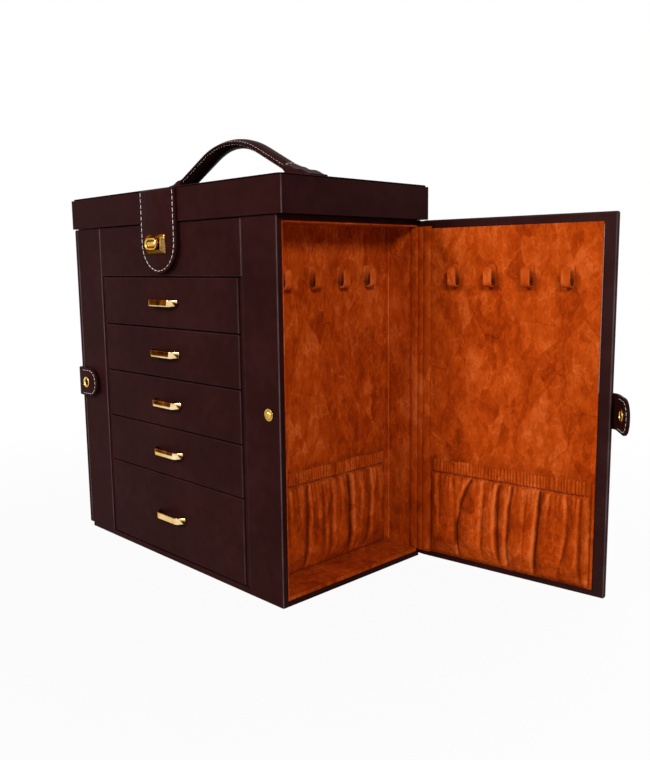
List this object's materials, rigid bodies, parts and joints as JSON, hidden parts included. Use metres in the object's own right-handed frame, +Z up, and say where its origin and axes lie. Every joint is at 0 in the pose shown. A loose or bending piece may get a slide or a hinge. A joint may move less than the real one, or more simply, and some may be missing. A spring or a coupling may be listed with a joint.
{
  "type": "jewelry box",
  "caption": "Upright leather jewelry box with a padded lid and carrying handle, a bank of drawers, and side doors that open on suede-lined necklace compartments.",
  "frame": {"origin": "centre of the base's underside, on the table", "axes": "+X to the right as seen from the front, +Y to the back, +Z up"},
  "size_m": [0.4798, 0.1897, 0.3614],
  "materials": {
    "leather": "dark brown, soft sheen",
    "anchor_leather": "dark brown, stitched",
    "suede": "burnt orange suede",
    "board": "board covered in suede",
    "brass": "polished gold colour",
    "flocked_hook": "plastic flocked to match the suede",
    "mirror": "silvered glass"
  },
  "bodies": {
    "cabinet": {"base_board": "leather", "back_panel": "leather", "left_partition": "board", "right_partition": "board", "left_stile": "leather", "right_stile": "leather", "fascia_panel": "leather", "compartment_ceilings": "board", "drawer_shelves": "board", "tray_floor": "board", "tray_lining": "suede", "ring_rolls": "suede", "left_compartment_lining": "suede", "right_compartment_lining": "suede", "left_compartment_hooks": "flocked_hook", "right_compartment_hooks": "flocked_hook", "left_compartment_pocket": "suede", "right_compartment_pocket": "suede", "snap_studs": "brass", "strike_plate": "brass", "lid_hinge_strip": "leather", "left_hinge_strip": "suede", "right_hinge_strip": "suede"},
    "left_door": {"left_door_panel": "leather", "left_door_lining": "suede", "left_door_hooks": "flocked_hook", "left_door_pocket": "suede"},
    "right_door": {"right_door_panel": "leather", "right_door_lining": "suede", "right_door_hooks": "flocked_hook", "right_door_pocket": "suede"},
    "left_tab": {"left_tab": "leather", "left_tab_snap": "brass"},
    "right_tab": {"right_tab": "leather", "right_tab_snap": "brass"},
    "lid": {"lid_shell": "leather", "lid_pad": "leather", "lid_lining": "suede", "lid_mirror": "mirror", "handle_strap": "leather", "handle_anchors": "anchor_leather"},
    "front_strap": {"front_strap": "leather", "lock_case": "brass"},
    "lock_knob": {"lock_knob": "brass"},
    "drawer_1": {"drawer_1_front": "leather", "drawer_1_tray": "suede", "drawer_1_pull": "brass"},
    "drawer_2": {"drawer_2_front": "leather", "drawer_2_tray": "suede", "drawer_2_pull": "brass"},
    "drawer_3": {"drawer_3_front": "leather", "drawer_3_tray": "suede", "drawer_3_pull": "brass"},
    "drawer_4": {"drawer_4_front": "leather", "drawer_4_tray": "suede", "drawer_4_pull": "brass"},
    "drawer_5": {"drawer_5_front": "leather", "drawer_5_tray": "suede", "drawer_5_pull": "brass"}
  },
  "joints": [
    {"name": "lid_hinge", "type": "hinge", "parent": "cabinet", "child": "lid", "pos_m": [0, 0.081, 0.2883], "axis": [-1, 0, 0], "range_deg": [0, 100], "deforming": ["lid_hinge_strip"]},
    {"name": "strap_hinge", "type": "hinge", "parent": "lid", "child": "front_strap", "pos_m": [0, -0.0825, 0.3131], "axis": [-1, 0, 0], "range_deg": [0, 110]},
    {"name": "lock_turn", "type": "hinge", "parent": "front_strap", "child": "lock_knob", "pos_m": [0, -0.0862, 0.271], "axis": [0, 1, 0], "range_deg": [0, 90]},
    {"name": "left_door_hinge", "type": "hinge", "parent": "cabinet", "child": "left_door", "pos_m": [-0.1475, 0.0795, 0.14495], "axis": [0, 0, -1], "range_deg": [0, 160], "deforming": ["left_hinge_strip"]},
    {"name": "right_door_hinge", "type": "hinge", "parent": "cabinet", "child": "right_door", "pos_m": [0.1475, 0.0795, 0.14495], "axis": [0, 0, 1], "range_deg": [-97, 63], "deforming": ["right_hinge_strip"]},
    {"name": "left_tab_lift", "type": "hinge", "parent": "left_door", "child": "left_tab", "pos_m": [-0.1461, -0.0809, 0.145], "axis": [0, 0, -1], "range_deg": [0, 90]},
    {"name": "right_tab_wrap", "type": "hinge", "parent": "right_door", "child": "right_tab", "pos_m": [0.30688, 0.09766, 0.145], "axis": [0, 0, -1], "range_deg": [-58, 32]},
    {"name": "drawer_1_slide", "type": "slide", "parent": "cabinet", "child": "drawer_1", "axis": [0, -1, 0], "range_m": [0, 0.13]},
    {"name": "drawer_2_slide", "type": "slide", "parent": "cabinet", "child": "drawer_2", "axis": [0, -1, 0], "range_m": [0, 0.13]},
    {"name": "drawer_3_slide", "type": "slide", "parent": "cabinet", "child": "drawer_3", "axis": [0, -1, 0], "range_m": [0, 0.13]},
    {"name": "drawer_4_slide", "type": "slide", "parent": "cabinet", "child": "drawer_4", "axis": [0, -1, 0], "range_m": [0, 0.13]},
    {"name": "drawer_5_slide", "type": "slide", "parent": "cabinet", "child": "drawer_5", "axis": [0, -1, 0], "range_m": [0, 0.13]}
  ]
}
